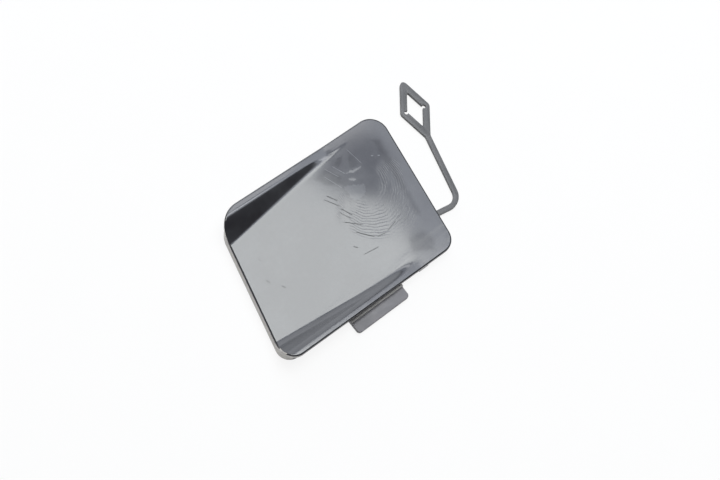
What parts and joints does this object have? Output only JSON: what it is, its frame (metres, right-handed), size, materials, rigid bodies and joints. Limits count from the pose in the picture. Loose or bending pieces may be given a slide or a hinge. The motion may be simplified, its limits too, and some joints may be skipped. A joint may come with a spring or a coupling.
{
  "type": "tow hook cover",
  "caption": "Shaped snap-in bumper cover for a towing eye opening, with a trough in its face, a tongue along one edge and a moulded strap that ends in a diamond loop.",
  "frame": {"origin": "middle of the bumper opening that the cover closes, in the plane of the rim's rear face", "axes": "+X along the two long edges towards the strap, +Y across towards the snap hooks, +Z out of the painted face"},
  "size_m": [0.123, 0.0777, 0.0115],
  "materials": {
    "cover_moulding": "glossy painted face, satin moulded strap, tongue and back"
  },
  "bodies": {
    "root": {"tow_hook_cover": "cover_moulding"}
  },
  "joints": []
}
